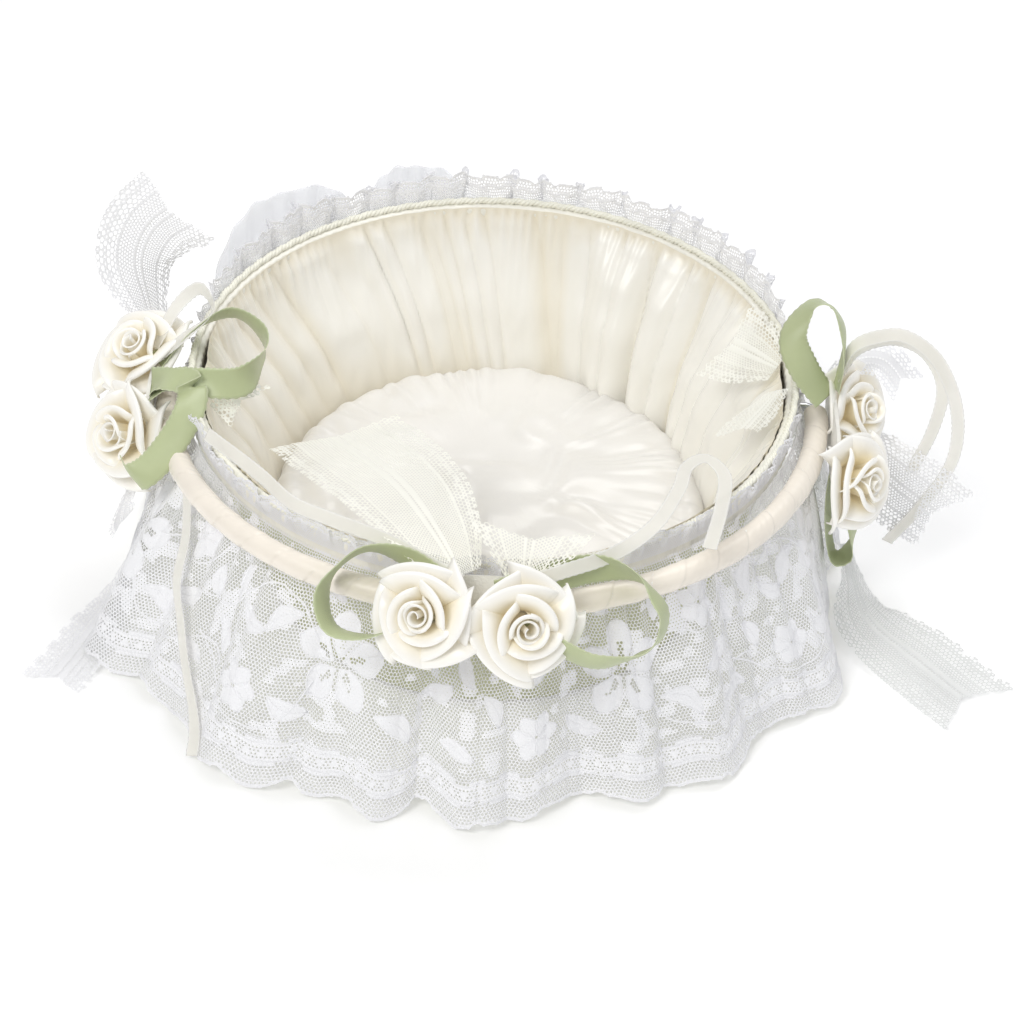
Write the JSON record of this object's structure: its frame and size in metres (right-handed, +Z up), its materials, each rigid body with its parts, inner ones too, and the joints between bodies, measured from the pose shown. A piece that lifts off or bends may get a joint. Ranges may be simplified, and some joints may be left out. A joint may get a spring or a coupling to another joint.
{
  "type": "flower girl basket",
  "caption": "Round satin-lined wedding basket with a lace skirt and rim ruffle, a satin-wrapped folding bail handle, and ribbon roses with bows at the handle's feet and crown.",
  "frame": {"origin": "centre of the flat underside, on the surface the basket stands on", "axes": "+Z up; the handle's pivots lie on a line along X; the folded handle lies over the front, towards -Y"},
  "size_m": [0.3332, 0.276, 0.128],
  "materials": {
    "ivory_satin": "soft satin sheen, gathered",
    "cover_satin": "satin sheen",
    "wrap_satin": "satin ribbon wound on a slant",
    "rose_satin": "satin ribbon, folded",
    "green_satin": "satin ribbon with a fine cross rib",
    "sheer_ribbon": "sheer woven ribbon",
    "lace": "knitted net with flower motifs and a scalloped edge",
    "organza": "sheer organza",
    "cord": "twisted rayon cord",
    "felt": "felt",
    "foam": "foam sleeve",
    "card": "plain pressed board",
    "wire": "drawn wire",
    "eyelet_brass": "polished"
  },
  "bodies": {
    "basket": {"bottom_cover": "ivory_satin", "base_board": "card", "wall_board": "card", "rim_wire": "wire", "rim_binding": "ivory_satin", "outer_cover": "cover_satin", "lining": "ivory_satin", "floor_pad": "ivory_satin", "rim_cord": "cord", "rim_ruffle": "lace", "lace_skirt": "lace", "organza_puff": "organza", "eyelet_left": "eyelet_brass", "eyelet_right": "eyelet_brass", "left_inner_lace": "lace", "right_inner_lace": "lace", "left_low_lace": "lace", "right_low_lace": "lace", "left_hanging_ribbon": "sheer_ribbon"},
    "handle": {"handle_wire": "wire", "handle_padding": "foam", "handle_wrap": "wrap_satin", "end_cap_left": "wire", "end_cap_right": "wire", "left_backing": "felt", "left_rose_upper": "rose_satin", "left_rose_lower": "rose_satin", "left_green_bow": "green_satin", "left_sheer_ribbon": "sheer_ribbon", "left_lace_bow": "lace", "right_backing": "felt", "right_rose_upper": "rose_satin", "right_rose_lower": "rose_satin", "right_green_bow": "green_satin", "right_sheer_ribbon": "sheer_ribbon", "right_lace_bow": "lace", "front_backing": "felt", "front_rose_left": "rose_satin", "front_rose_right": "rose_satin", "front_green_bow": "green_satin", "front_sheer_ribbon": "sheer_ribbon", "front_lace_bow": "lace"}
  },
  "joints": [
    {"name": "handle_fold", "type": "hinge", "parent": "basket", "child": "handle", "pos_m": [0, 0, 0.069], "axis": [-1, 0, 0], "range_deg": [0, 95], "deforming": ["left_green_bow", "left_sheer_ribbon", "left_lace_bow", "right_green_bow", "right_sheer_ribbon", "right_lace_bow"]}
  ]
}
